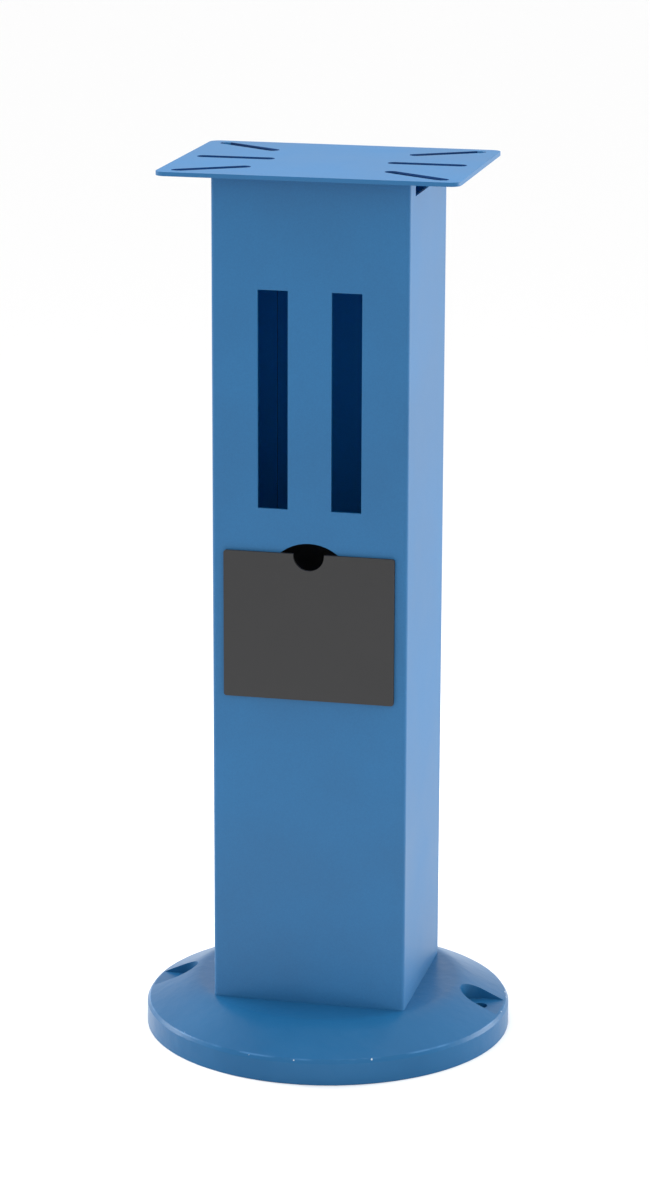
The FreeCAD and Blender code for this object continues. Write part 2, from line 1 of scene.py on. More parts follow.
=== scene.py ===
# %% [markdown]
# # A floor stand for a bench grinder
# This lesson dresses an engineering model in Blender. We never move those
# parts. We give each one its real finish, and where a part needs softer edges
# or finer form than the CAD holds, we model a piece that takes its place and
# rides on the same body.

# %% Load the frame
import math

import bmesh
import bpy
from mathutils import Matrix, Vector


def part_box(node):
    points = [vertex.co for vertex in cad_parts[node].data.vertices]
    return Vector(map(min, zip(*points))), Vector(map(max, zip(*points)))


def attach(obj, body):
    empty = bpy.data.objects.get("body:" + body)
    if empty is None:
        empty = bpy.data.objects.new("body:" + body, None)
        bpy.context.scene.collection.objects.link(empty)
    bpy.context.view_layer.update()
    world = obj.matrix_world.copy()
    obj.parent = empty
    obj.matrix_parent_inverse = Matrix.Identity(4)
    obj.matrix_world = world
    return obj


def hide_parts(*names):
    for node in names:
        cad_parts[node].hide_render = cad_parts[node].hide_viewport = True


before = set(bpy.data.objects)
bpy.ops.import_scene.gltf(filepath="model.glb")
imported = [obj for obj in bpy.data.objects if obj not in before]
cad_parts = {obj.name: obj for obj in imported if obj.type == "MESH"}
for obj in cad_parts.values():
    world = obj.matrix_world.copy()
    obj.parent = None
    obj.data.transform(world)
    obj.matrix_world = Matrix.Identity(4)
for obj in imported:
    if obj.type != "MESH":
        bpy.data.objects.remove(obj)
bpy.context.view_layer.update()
MM = 0.001

# %% [markdown]
# ## Colour and nodes
# Paint makers and screens give a colour as an sRGB hex value, but Cycles adds up
# light in linear values, so one function makes that step for every colour here.
# A second small function adds a shader node, sets it and links it. With the two,
# a material reads from top to bottom like a recipe.


# %% Helpers for colour and nodes
def linear(hex_code):
    """Linear RGBA of an sRGB hex colour."""
    channels = [int(hex_code[i:i + 2], 16) / 255 for i in (1, 3, 5)]
    return tuple(c / 12.92 if c <= 0.04045 else ((c + 0.055) / 1.055) ** 2.4 for c in channels) + (1.0,)


def add(tree, kind, inputs=None, stops=(), **settings):
    """Adds one node. An input takes a value or the socket that feeds it. Stops are a ramp's two colours."""
    node = tree.nodes.new(kind)
    for name, value in settings.items():
        setattr(node, name, value)
    for key, value in (inputs or {}).items():
        if isinstance(value, bpy.types.NodeSocket):
            tree.links.new(value, node.inputs[key])
        else:
            node.inputs[key].default_value = value
    for number, (position, code) in enumerate(stops):
        element = node.color_ramp.elements[number]
        element.position = position
        element.color = linear(code)
    return node


def start_material(name):
    """Empty procedural material. Returns it, its node tree and the object's own coordinates."""
    material = bpy.data.materials.new(name)
    material.use_nodes = True
    material.node_tree.nodes.clear()
    place = add(material.node_tree, "ShaderNodeTexCoord").outputs["Object"]
    return material, material.node_tree, place


print("mid blue in linear values:", [round(c, 3) for c in linear("#2c6ca6")[:3]])

# %% [markdown]
# ## Powder coat on sheet steel
# The column, the plate and the small folded pieces are sheet steel with a blue
# polyester powder coat. Powder is sprayed on dry and melted in an oven, so it
# flows into a skin about 0.08 mm thick. That skin is smooth but never flat: it
# keeps a faint orange peel with a pitch of a few millimetres, and to the eye the
# satin sheen wavers a little. A flat blue shader would look like plastic film. We
# use a dielectric with an IOR of 1.5, no metal, and a roughness near 0.5, then add
# the peel as bump, a slow change of tone over the sheet, and fine speckle.
# The recipe is a function, because the stand shows it in three states. The charged
# powder flies to the nearest edge of an opening and hardly gets inside a box, so the
# inner faces have a thin, dry coat without sheen. Their blue is lighter and purer
# than outside: painted light that stands in for light bounced round inside the column.
# On the cut walls of narrow slots the coat is thin and dry too, and its dark navy is
# painted shade that stands in for the shade down in the slots.

# %% Powder coat
NOISE_SPAN = {"From Min": 0.3, "From Max": 0.7}     # nearly all values of a noise lie in this span
PEEL_PITCH = 3.0 * MM       # orange peel, from crest to crest
TONE_PITCH = 140 * MM       # slow change of tone over a sheet
SPECK_PITCH = 1.2 * MM      # real powder grains are finer; this is as coarse as it needs to show


def powder_coat(name, dark, light, smooth, rough, sheen):
    """Powder coat with orange peel, between two blues and between a smooth and a rough value."""
    material, tree, place = start_material(name)
    tone = add(tree, "ShaderNodeTexNoise", {"Vector": place, "Scale": 1 / TONE_PITCH, "Detail": 3.0})
    blue = add(tree, "ShaderNodeValToRGB", {"Fac": tone.outputs["Fac"]}, stops=[(0.35, dark), (0.65, light)])
    speck = add(tree, "ShaderNodeTexNoise", {"Vector": place, "Scale": 1 / SPECK_PITCH, "Detail": 2.0})
    grain = add(tree, "ShaderNodeMapRange", {
        "Value": speck.outputs["Fac"], **NOISE_SPAN, "To Min": 0.95, "To Max": 1.05})
    speckled = add(tree, "ShaderNodeVectorMath", {
        0: blue.outputs["Color"], "Scale": grain.outputs["Result"]}, operation="SCALE")
    gloss = add(tree, "ShaderNodeMapRange", {
        "Value": tone.outputs["Fac"], **NOISE_SPAN, "To Min": smooth, "To Max": rough})
    peel = add(tree, "ShaderNodeTexNoise", {"Vector": place, "Scale": 1 / PEEL_PITCH, "Detail": 1.0})
    ripple = add(tree, "ShaderNodeBump", {
        "Strength": 0.25, "Distance": 0.2 * MM, "Height": peel.outputs["Fac"]})
    powder = add(tree, "ShaderNodeBump", {
        "Strength": 0.1, "Distance": 0.1 * MM, "Height": speck.outputs["Fac"],
        "Normal": ripple.outputs["Normal"]})
    shader = add(tree, "ShaderNodeBsdfPrincipled", {
        "Base Color": speckled.outputs["Vector"], "Roughness": gloss.outputs["Result"], "IOR": 1.5,
        "Specular IOR Level": sheen, "Normal": powder.outputs["Normal"]})
    add(tree, "ShaderNodeOutputMaterial", {"Surface": shader.outputs["BSDF"]})
    return material


sheet_paint = powder_coat("polyester_powder_coat", "#1b5e8e", "#1e6496", smooth=0.46, rough=0.56, sheen=0.4)
# Lighter and purer than the outside blue: painted light that stands in for light bounced round inside the
# column.
inside_paint_with_painted_light = powder_coat("thin_coat_inside_with_painted_light", "#0a6cba", "#0c74c4", smooth=0.7, rough=0.85, sheen=0.1)
# Dark navy for the walls of the plate's slots: painted shade that stands in for the shade inside the narrow
# slots.
slot_paint_painted_shade = powder_coat("thin_coat_with_painted_shade_on_slots", "#01264f", "#022b58", smooth=0.7, rough=0.85, sheen=0.1)
print("finishes:", sheet_paint.name, inside_paint_with_painted_light.name, slot_paint_painted_shade.name)

# %% [markdown]
# ## Enamel on cast iron
# The round base is grey iron poured in a sand mould, fettled, filled and sprayed
# with wet enamel in the same blue. Sand leaves shallow swells and small pits that
# a sheet doesn't have, and paint bridges only the finest of them. So this recipe
# has two larger noises in its bump. Knocks leave pin-head chips along the edge of
# the rim, where the light primer shows through, and rubbing thins the blue there.
# Both depend on the height off that edge, and chips on the distance from the origin
# too, which keeps them out of the pockets.

# %% Casting enamel
SWELL_PITCH = 14 * MM       # long swells of the sand mould
SAND_PITCH = 2.4 * MM       # pits of the sand itself
CHIP_PITCH = 7 * MM         # typical distance between chips on a knocked edge
RUB_PITCH = 40 * MM         # stretches of the edge where feet and brooms rub
EDGE_HEIGHT = 24.8 * MM     # the edge of the rim, where chips gather
EDGE_REACH = 179 * MM       # that edge lies further from the origin than this, the pockets nearer
REACH_FADE = 4 * MM         # chips fade out over this distance below it
CHIP_BAND = (1.0 * MM, 3.0 * MM)    # height off the edge: chips in full to the first, none past the second
RUB_BAND = (0.3 * MM, 0.9 * MM)     # the same for rubbed paint
CHIP_MASK = 0.175           # added to the noise of the chips on the edge, and nothing far from it
CHIP_NOISE = (0.84, 0.85)   # noise plus mask: paint up to the first, bare primer from the second
RUB_NOISE = (0.46, 0.6)     # noise: full paint up to the first, the thinnest from the second
RUB_MOST = 0.5              # share of the rubbed blue where paint is thinnest


def casting_enamel(name):
    """Blue enamel over sand-cast iron, chipped here and there along the rim."""
    material, tree, place = start_material(name)
    tone = add(tree, "ShaderNodeTexNoise", {"Vector": place, "Scale": 1 / TONE_PITCH, "Detail": 4.0})
    # These blues are a little darker than the sheet's: painted shade that stands in for the shade the plate
    # throws on the base.
    blue = add(tree, "ShaderNodeValToRGB", {"Fac": tone.outputs["Fac"]},
               stops=[(0.35, "#195784"), (0.65, "#1e5e8c")])
    height = add(tree, "ShaderNodeSeparateXYZ", {"Vector": place})
    from_edge = add(tree, "ShaderNodeMath", {0: height.outputs["Z"], 1: EDGE_HEIGHT}, operation="SUBTRACT")
    off_edge = add(tree, "ShaderNodeMath", {0: from_edge.outputs["Value"]}, operation="ABSOLUTE")
    level = add(tree, "ShaderNodeMapRange", {
        "Value": off_edge.outputs["Value"], "From Min": CHIP_BAND[0], "From Max": CHIP_BAND[1],
        "To Min": CHIP_MASK, "To Max": 0.0})
    reach = add(tree, "ShaderNodeVectorMath", {0: place}, operation="LENGTH")
    outside = add(tree, "ShaderNodeMapRange", {
        "Value": reach.outputs["Value"], "From Min": EDGE_REACH - REACH_FADE, "From Max": EDGE_REACH})
    near_edge = add(tree, "ShaderNodeMath", {
        0: level.outputs["Result"], 1: outside.outputs["Result"]}, operation="MULTIPLY")
    knocks = add(tree, "ShaderNodeTexNoise", {"Vector": place, "Scale": 1 / CHIP_PITCH, "Detail": 2.5})
    knocked = add(tree, "ShaderNodeMath", {
        0: knocks.outputs["Fac"], 1: near_edge.outputs["Value"]}, operation="ADD")
    chip = add(tree, "ShaderNodeMapRange", {
        "Value": knocked.outputs["Value"], "From Min": CHIP_NOISE[0], "From Max": CHIP_NOISE[1]})
    on_edge = add(tree, "ShaderNodeMapRange", {
        "Value": off_edge.outputs["Value"], "From Min": RUB_BAND[0], "From Max": RUB_BAND[1],
        "To Min": RUB_MOST, "To Max": 0.0})
    rubs = add(tree, "ShaderNodeTexNoise", {"Vector": place, "Scale": 1 / RUB_PITCH, "Detail": 4.0})
    rub = add(tree, "ShaderNodeMapRange", {
        "Value": rubs.outputs["Fac"], "From Min": RUB_NOISE[0], "From Max": RUB_NOISE[1]})
    worn = add(tree, "ShaderNodeMath", {
        0: on_edge.outputs["Result"], 1: rub.outputs["Result"]}, operation="MULTIPLY")
    thinned = add(tree, "ShaderNodeMix", {
        "Factor": worn.outputs["Value"], "A": blue.outputs["Color"], "B": linear("#4f84b6")},
        data_type="RGBA")
    skin = add(tree, "ShaderNodeMix", {
        "Factor": chip.outputs["Result"], "A": thinned.outputs["Result"], "B": linear("#b9c6d2")},
        data_type="RGBA")
    swell = add(tree, "ShaderNodeTexNoise", {"Vector": place, "Scale": 1 / SWELL_PITCH, "Detail": 1.0})
    sand = add(tree, "ShaderNodeTexNoise", {"Vector": place, "Scale": 1 / SAND_PITCH, "Detail": 2.0})
    swells = add(tree, "ShaderNodeBump", {
        "Strength": 0.35, "Distance": 1.0 * MM, "Height": swell.outputs["Fac"]})
    pits = add(tree, "ShaderNodeBump", {
        "Strength": 0.25, "Distance": 0.3 * MM, "Height": sand.outputs["Fac"],
        "Normal": swells.outputs["Normal"]})
    dents = add(tree, "ShaderNodeBump", {
        "Strength": 0.6, "Distance": 0.3 * MM, "Height": chip.outputs["Result"],
        "Normal": pits.outputs["Normal"]}, invert=True)
    gloss = add(tree, "ShaderNodeMapRange", {
        "Value": tone.outputs["Fac"], **NOISE_SPAN, "To Min": 0.28, "To Max": 0.38})
    shader = add(tree, "ShaderNodeBsdfPrincipled", {
        "Base Color": skin.outputs["Result"], "Roughness": gloss.outputs["Result"], "IOR": 1.5,
        "Specular IOR Level": 0.22, "Normal": dents.outputs["Normal"]})
    add(tree, "ShaderNodeOutputMaterial", {"Surface": shader.outputs["BSDF"]})
    return material


cast_paint = casting_enamel("enamel_on_cast_iron")
print("finish:", cast_paint.name)

# %% [markdown]
# ## Moulded tray plastic
# The tray is injection-moulded ABS, dark grey right through. Its mould is
# spark-eroded, which prints a fine matt grain on every face: cells of a fraction
# of a millimetre that scatter the light and hide scuffs. ABS has an IOR of about
# 1.54. A Voronoi pattern gives rounded cells like the sparks leave, and a faint
# large cloud keeps the wide front from looking printed.

# %% Tray plastic
GRAIN_PITCH = 0.8 * MM      # real grain is about 0.2 mm; this is coarse enough to show
CLOUD_PITCH = 70 * MM       # slow change of tone over the wide front


def moulded_abs(name):
    """Dark grey ABS with a spark-eroded grain."""
    material, tree, place = start_material(name)
    cloud = add(tree, "ShaderNodeTexNoise", {"Vector": place, "Scale": 1 / CLOUD_PITCH, "Detail": 3.0})
    grey = add(tree, "ShaderNodeValToRGB", {"Fac": cloud.outputs["Fac"]},
               stops=[(0.3, "#242425"), (0.7, "#262627")])
    cells = add(tree, "ShaderNodeTexVoronoi", {"Vector": place, "Scale": 1 / GRAIN_PITCH})
    grain = add(tree, "ShaderNodeBump", {
        "Strength": 0.3, "Distance": 0.06 * MM, "Height": cells.outputs["Distance"]})
    gloss = add(tree, "ShaderNodeMapRange", {
        "Value": cloud.outputs["Fac"], **NOISE_SPAN, "To Min": 0.48, "To Max": 0.58})
    shader = add(tree, "ShaderNodeBsdfPrincipled", {
        "Base Color": grey.outputs["Color"], "Roughness": gloss.outputs["Result"], "IOR": 1.54,
        "Specular IOR Level": 0.42, "Normal": grain.outputs["Normal"]})
    add(tree, "ShaderNodeOutputMaterial", {"Surface": shader.outputs["BSDF"]})
    return material


tray_plastic = moulded_abs("grained_abs")
print("finish:", tray_plastic.name)

# %% [markdown]
# ## Zinc-plated steel
# Bolts, screws, washers and nuts are steel with a thin bright zinc plate. Zinc is
# a metal, so its colour sits in the reflection and the default IOR stays. Barrel
# plating tumbles the parts against each other, and that leaves them patchy:
# brighter on the high places, duller and bluer in between.

# %% Zinc plate
PATCH_PITCH = 5 * MM        # bright and dull patches
TUMBLE_PITCH = 0.8 * MM     # marks from knocks in the barrel


def zinc_plate(name):
    """Bright zinc over steel, a little patchy from barrel plating."""
    material, tree, place = start_material(name)
    patch = add(tree, "ShaderNodeTexNoise", {"Vector": place, "Scale": 1 / PATCH_PITCH, "Detail": 3.0})
    plate = add(tree, "ShaderNodeValToRGB", {"Fac": patch.outputs["Fac"]},
                stops=[(0.35, "#a3a9ae"), (0.65, "#c8cbcb")])
    gloss = add(tree, "ShaderNodeMapRange", {
        "Value": patch.outputs["Fac"], **NOISE_SPAN, "To Min": 0.38, "To Max": 0.25})
    marks = add(tree, "ShaderNodeTexNoise", {"Vector": place, "Scale": 1 / TUMBLE_PITCH, "Detail": 2.0})
    tumbled = add(tree, "ShaderNodeBump", {
        "Strength": 0.15, "Distance": 0.05 * MM, "Height": marks.outputs["Fac"]})
    shader = add(tree, "ShaderNodeBsdfPrincipled", {
        "Base Color": plate.outputs["Color"], "Metallic": 1.0, "Roughness": gloss.outputs["Result"],
        "Normal": tumbled.outputs["Normal"]})
    add(tree, "ShaderNodeOutputMaterial", {"Surface": shader.outputs["BSDF"]})
    return material


zinc = zinc_plate("bright_zinc_plate")
print("finish:", zinc.name)

# %% [markdown]
# ## From a CAD part to a dressed piece
# A CAD part arrives as loose triangles with perfectly sharp edges. Real edges are
# never that sharp: a laser-cut edge under powder coat is rounded by a few tenths
# of a millimetre, a casting by a millimetre or more, and that round is what
# catches the light. We could model every sheet again, but the CAD shape is
# already exact. So we copy it, merge the doubled vertices, dissolve the triangles
# of each flat face into one face, and bevel the edges that turn sharply. Weighted
# normals then keep the wide faces flat right up to the new rounds.

# %% Dress a CAD part
DOUBLES = 0.002 * MM        # vertices nearer than this are one
FLAT = math.radians(0.5)    # faces that turn less than this are one face
SHARP = math.radians(28)    # edges that turn more than this get a bevel
CREASE = math.radians(40)   # edges that turn more than this stay sharp in the shading


def merged_copy(node):
    """Clean bmesh of a CAD part: doubles merged, each flat face whole again."""
    mesh = bmesh.new()
    mesh.from_mesh(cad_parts[node].data)
    bmesh.ops.remove_doubles(mesh, verts=mesh.verts, dist=DOUBLES)
    bmesh.ops.dissolve_limit(mesh, angle_limit=FLAT, verts=mesh.verts, edges=mesh.edges)
    return mesh


def soften(mesh, width, segments=2, wanted=lambda edge: True):
    """Rounds every wanted edge that turns by more than SHARP."""
    edges = [edge for edge in mesh.edges
             if len(edge.link_faces) == 2 and edge.calc_face_angle(0) > SHARP and wanted(edge)]
    bmesh.ops.bevel(mesh, geom=edges, affect="EDGES", offset=width, offset_type="OFFSET", segments=segments,
                    profile=0.5, material=-1, clamp_overlap=True)


def finish_piece(mesh, name, body, material, *nodes, second=None):
    """Object from a bmesh, in place of CAD parts, with its finish and a second one for marked faces."""
    data = bpy.data.meshes.new(name)
    mesh.to_mesh(data)
    mesh.free()
    data.shade_smooth()
    data.set_sharp_from_angle(angle=CREASE)
    data.materials.append(material)
    if second:
        data.materials.append(second)
    piece = bpy.data.objects.new(name, data)
    bpy.context.scene.collection.objects.link(piece)
    weighted = piece.modifiers.new("weighted_normals", "WEIGHTED_NORMAL")
    weighted.keep_sharp = True
    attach(piece, body)
    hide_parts(*nodes)
    print(f"{name}: {len(data.polygons)} faces on {body}")
    return piece


def dress(node, body, material, width):
    """Copy of a CAD part with its edges softened, in its place."""
    mesh = merged_copy(node)
    soften(mesh, width)
    finish_piece(mesh, node + "_dressed", body, material, node)


# %% [markdown]
# ## Column, plate and folded pieces
# Sheet that was cut by laser and folded has crisp edges, softened only by the
# coat: 0.35 mm on thin sheet, and more on the column and round the plate, which
# are ground before painting so that nobody gets cut at the bench. The folded
# column and its cover have an outside and an inside, so each needs two finishes on
# one piece. We mark the inner faces by where they lie, after the bevels are made.

# %% Column and cover
SHEET_EDGE = 0.35 * MM
COLUMN_EDGE = 0.6 * MM
PAST_CUTS = 2 * MM          # past the middle of a cut edge of 2.5 mm sheet, short of the inner face
column_low, column_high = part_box("column_front")


def is_inside(face):
    """True for a face inside the column, and for the one of the cover that looks into it."""
    place = face.calc_center_median()
    on_outside = (abs(place.x) > column_high.x - PAST_CUTS or place.y < column_low.y + PAST_CUTS
                  or place.z > column_high.z - PAST_CUTS)
    looks_forward = face.normal.y < -0.5
    return not on_outside and (looks_forward or place.y < column_high.y - PAST_CUTS)


# The inner faces get the inside coat, whose lighter blue is painted light for light bounced round inside the
# column.
for node, edge_width in (("column_front", COLUMN_EDGE), ("column_rear_panel", SHEET_EDGE)):
    mesh = merged_copy(node)
    soften(mesh, edge_width)
    for face in mesh.faces:
        face.material_index = int(is_inside(face))
    print("inner faces:", sum(face.material_index for face in mesh.faces))
    finish_piece(mesh, node + "_dressed", "stand", sheet_paint, node, second=inside_paint_with_painted_light)

# %% [markdown]
# The slots of the plate have a chamfer that guides a bolt in. A bevel would stay
# too narrow, as the short edges round the ends of a slot clamp it. So we inset the
# two flat faces and push the ends of the walls in. The coat is thin on the chamfer
# and on the walls, and we give both a dark navy: painted shade that stands in for
# the shade in the slots, so they read as dark lines from far away.

# %% Top plate
PLATE_EDGE = 0.6 * MM
SLOT_EDGE = 1.4 * MM        # width and height of the chamfer of the slots
PLATE_BORDER = 13 * MM      # solid strip between the slots and the outline of the plate
LEVEL = 0.95                # the normal of a flat face points up or down by more than this
plate_low, plate_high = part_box("top_plate")
plate_middle = (plate_low.z + plate_high.z) / 2


def on_border(place):
    """True for a place in the solid strip round the plate."""
    return abs(place.x) > plate_high.x - PLATE_BORDER or abs(place.y) > plate_high.y - PLATE_BORDER


mesh = merged_copy("top_plate")
flats = [face for face in mesh.faces if abs(face.normal.z) > LEVEL]
walls = [face for face in mesh.faces if abs(face.normal.z) < LEVEL]
bmesh.ops.inset_region(mesh, faces=flats, thickness=SLOT_EDGE, use_boundary=True, use_even_offset=True)
for vertex in {vertex for face in walls for vertex in face.verts if not on_border(vertex.co)}:
    vertex.co.z += SLOT_EDGE if vertex.co.z < plate_middle else -SLOT_EDGE
mesh.normal_update()
soften(mesh, PLATE_EDGE, wanted=lambda edge: on_border(edge.verts[0].co))
for face in mesh.faces:
    if abs(face.normal.z) < LEVEL and not on_border(face.calc_center_median()):
        face.material_index = 1
print("faces on the walls of the slots:", sum(face.material_index for face in mesh.faces))
finish_piece(mesh, "top_plate_dressed", "stand", sheet_paint, "top_plate", second=slot_paint_painted_shade)

# %% [markdown]
# The small sheet pieces inside the column can be seen only through its slots and
# notches. They have the thin inner coat, whose lighter blue is painted light, and
# the crisp edges of thin sheet.

# %% Sheet pieces inside the column
for hidden in ("foot_plate", "plate_bearer_front", "plate_bearer_rear", "tray_runner_left",
               "tray_runner_right"):
    dress(hidden, "stand", inside_paint_with_painted_light, SHEET_EDGE)

# %% [markdown]
# ## Cast base
# Molten iron doesn't fill a sharp corner, and fettling rounds the edges further,
# so the casting gets a wide bevel with three segments. Its plateau runs into the
# slope over a soft shoulder. We bevel that shallow edge by itself, since it turns
# less than SHARP. The top is a turned form, but its mesh is a ring of long, thin
# faces, and normals averaged from such faces show as rays. So we cut a few rings
# into the slope and give every corner on it the normal that a turned surface has
# at that radius.

# %% Round the shoulder of the base
CAST_EDGE = 1.2 * MM
RIM_HEIGHT = 24 * MM        # where the slope would meet the wall of the rim, but for a chamfer
PLATEAU_MARGIN = 1.5 * MM   # the plateau reaches this far past the column's corners
SHOULDER = 3.8 * MM         # rounded to this far on both sides of the shoulder's edge
NEAR_EDGE = 0.3 * MM        # a vertex of that edge lies no further from it than this
RINGS = (4 * MM, 8 * MM, 12 * MM, 18 * MM)      # cuts in the slope, outwards from the shoulder
SNAP = 0.0001 * MM          # a cut runs through the vertices that lie nearer to it than this

cast_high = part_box("base_casting")[1]
plateau_height = cast_high.z
column_corner = math.hypot(column_high.x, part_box("column_rear_panel")[1].y)
shoulder_radius = column_corner + PLATEAU_MARGIN
slope_angle = math.atan2(plateau_height - RIM_HEIGHT, cast_high.x - shoulder_radius)


def slope_height(radius):
    """Height of the slope at a distance from the middle."""
    return plateau_height - max(radius - shoulder_radius, 0) * math.tan(slope_angle)


def on_shoulder(vertex):
    """True for a vertex on the edge between plateau and slope."""
    radius = math.hypot(vertex.co.x, vertex.co.y)
    return math.hypot(radius - shoulder_radius, vertex.co.z - plateau_height) < NEAR_EDGE


mesh = merged_copy("base_casting")
edges = [edge for edge in mesh.edges if on_shoulder(edge.verts[0]) and on_shoulder(edge.verts[1])]
print("edges on the shoulder:", len(edges))
bmesh.ops.bevel(mesh, geom=edges, affect="EDGES", offset=SHOULDER, offset_type="OFFSET", segments=4,
                profile=0.5, material=-1, clamp_overlap=True)
soften(mesh, CAST_EDGE, 3)
for ring in RINGS:
    level = slope_height(shoulder_radius + SHOULDER + ring)
    bmesh.ops.bisect_plane(mesh, geom=mesh.verts[:] + mesh.edges[:] + mesh.faces[:], dist=SNAP,
                           plane_co=(0, 0, level), plane_no=(0, 0, 1))
base_iron = finish_piece(mesh, "base_casting_dressed", "stand", cast_paint, "base_casting")

# %% Normals of a turned surface
SHOULDER_FADE = 18 * MM     # the shading still turns to this far down the slope
NEAR_SLOPE = 1 * MM         # faces of the slope lie no further from it than this
SLOPE_LEVEL = 0.88          # and their normal points up by more than this


def turned_normal(place):
    """Normal of the turned top of the base at one of its places."""
    radius = math.hypot(place.x, place.y)
    part = (radius - shoulder_radius + SHOULDER) / (SHOULDER + SHOULDER_FADE)
    part = min(max(part, 0.0), 1.0)
    tilt = slope_angle * part * (2 - part)
    return Vector((math.sin(tilt) * place.x / radius, math.sin(tilt) * place.y / radius, math.cos(tilt)))


def on_slope(polygon):
    """True for a face of the shoulder or the slope, not of a pocket or the rim."""
    radius = math.hypot(polygon.center.x, polygon.center.y)
    near_slope = abs(polygon.center.z - slope_height(radius)) < NEAR_SLOPE
    return near_slope and polygon.normal.z > SLOPE_LEVEL and radius > shoulder_radius - SHOULDER


def set_turned_normals(piece):
    """Fixes the weighted normals of a piece, and gives its slope those of the turned surface."""
    data = bpy.data.meshes.new_from_object(piece.evaluated_get(bpy.context.evaluated_depsgraph_get()))
    piece.modifiers.clear()
    piece.data = data
    normals = [corner.vector.copy() for corner in data.corner_normals]
    turned = [corner for polygon in data.polygons if on_slope(polygon) for corner in polygon.loop_indices]
    for corner in turned:
        normals[corner] = turned_normal(data.vertices[data.loops[corner].vertex_index].co)
    data.normals_split_custom_set(normals)
    print(f"{len(turned)} of {len(normals)} corner normals follow the turned surface")


set_turned_normals(base_iron)

# %% [markdown]
# ## Moulded tray
# A sharp edge in a mould wears and cracks, so a moulded tray has a small radius
# on every edge. It rides on its own body, so it slides out without the stand.

# %% Tray
MOULDED_EDGE = 0.5 * MM

dress("tray_bin", "tray", tray_plastic, MOULDED_EDGE)

# %% [markdown]
# ## Fasteners
# A hexagon head is turned first and then pressed or milled flat on six sides,
# which is why its flats end in curved lines at the chamfer. We model it the same
# way: spin a chamfered profile, then cut six planes. The thread is a ridge that
# a spin carries up the shank as it turns, one pitch for each turn. It is a little
# narrower than the pitch, because turns that touch would share their edges.

# %% Hexagon head
ROUND_STEPS = 36            # steps of a full turn on small round parts
CROWN = 0.475               # radius of the flat end of a head, as a part of its width across flats
CHAMFER_ANGLE = math.radians(30)
SIDES = 6


def hexagon_head(mesh, across, height):
    """Turned and flatted head, from its bearing face at z = 0 down to -height."""
    corner = across / math.sqrt(3)
    crown = across * CROWN
    chamfer = (corner - crown) * math.tan(CHAMFER_ANGLE)
    outline = [(0, -height), (crown, -height), (corner, chamfer - height), (corner, 0), (0, 0)]
    points = [mesh.verts.new((radius, 0, level)) for radius, level in outline]
    sides = [mesh.edges.new(pair) for pair in zip(points, points[1:])]
    bmesh.ops.spin(mesh, geom=points + sides, cent=(0, 0, 0), axis=(0, 0, 1), angle=math.tau,
                   steps=ROUND_STEPS, use_merge=True)
    bmesh.ops.remove_doubles(mesh, verts=mesh.verts, dist=DOUBLES)
    for number in range(SIDES):
        turn = math.tau * (number + 0.5) / SIDES
        normal = Vector((math.cos(turn), math.sin(turn), 0))
        geometry = mesh.verts[:] + mesh.edges[:] + mesh.faces[:]
        cut = bmesh.ops.bisect_plane(mesh, geom=geometry, dist=SNAP, plane_co=normal * across / 2,
                                     plane_no=normal, clear_outer=True)
        rim = [item for item in cut["geom_cut"] if isinstance(item, bmesh.types.BMEdge)]
        bmesh.ops.contextual_create(mesh, geom=rim)


# %% Threaded shank
THREAD_DEPTH = 0.6          # from crest to root, in pitches
# section of the ridge, in pitches too: outwards from the crest, and up the shank
THREAD_SECTION = ((-0.7, 0.03), (0.0, 0.45), (0.0, 0.55), (-0.7, 0.97))


def threaded_shank(mesh, diameter, pitch, length):
    """Shank from z = 0 up to length, with its thread as a spiral ridge that starts under the root."""
    root = diameter / 2 - THREAD_DEPTH * pitch
    bmesh.ops.create_cone(mesh, cap_ends=True, segments=ROUND_STEPS, radius1=root, radius2=root, depth=length,
                          matrix=Matrix.Translation((0, 0, length / 2)))
    points = [mesh.verts.new((diameter / 2 + out * pitch, 0, up * pitch)) for out, up in THREAD_SECTION]
    section = mesh.faces.new(points)
    turns = int(length / pitch) - 1
    bmesh.ops.spin(mesh, geom=[section] + points + section.edges[:], cent=(0, 0, 0), axis=(0, 0, 1),
                   dvec=(0, 0, pitch / ROUND_STEPS), angle=math.tau * turns, steps=ROUND_STEPS * turns)


# %% Whole fastener and sets of it
def fastener(across, height, diameter, pitch, length):
    """Mesh of one hexagon-head bolt or screw along +Z, its head below z = 0."""
    mesh = bmesh.new()
    hexagon_head(mesh, across, height)
    threaded_shank(mesh, diameter, pitch, length)
    bmesh.ops.recalc_face_normals(mesh, faces=mesh.faces)
    data = bpy.data.meshes.new("one_fastener")
    mesh.to_mesh(data)
    mesh.free()
    return data


def set_of(data, places, turn, name, node):
    """Copies of one fastener at several places, as one piece in place of a CAD part."""
    mesh = bmesh.new()
    for place in places:
        first = len(mesh.verts)
        mesh.from_mesh(data)
        mesh.verts.ensure_lookup_table()
        bmesh.ops.transform(mesh, matrix=Matrix.Translation(place) @ turn, verts=mesh.verts[first:])
    bpy.data.meshes.remove(data)
    finish_piece(mesh, name, "stand", zinc, node)


# %% [markdown]
# The sizes come from the standards: a 10 mm bolt has a 17 mm head and a pitch of
# 1.5 mm, a 5 mm screw an 8 mm head and a pitch of 0.8 mm. Threads are 0.1 mm under
# their nominal diameter, so that they clear the nuts. The places come from the box
# of the CAD part that each set replaces.

# %% Base bolts
M10 = {"across": 17 * MM, "height": 6.4 * MM, "diameter": 9.9 * MM, "pitch": 1.5 * MM}

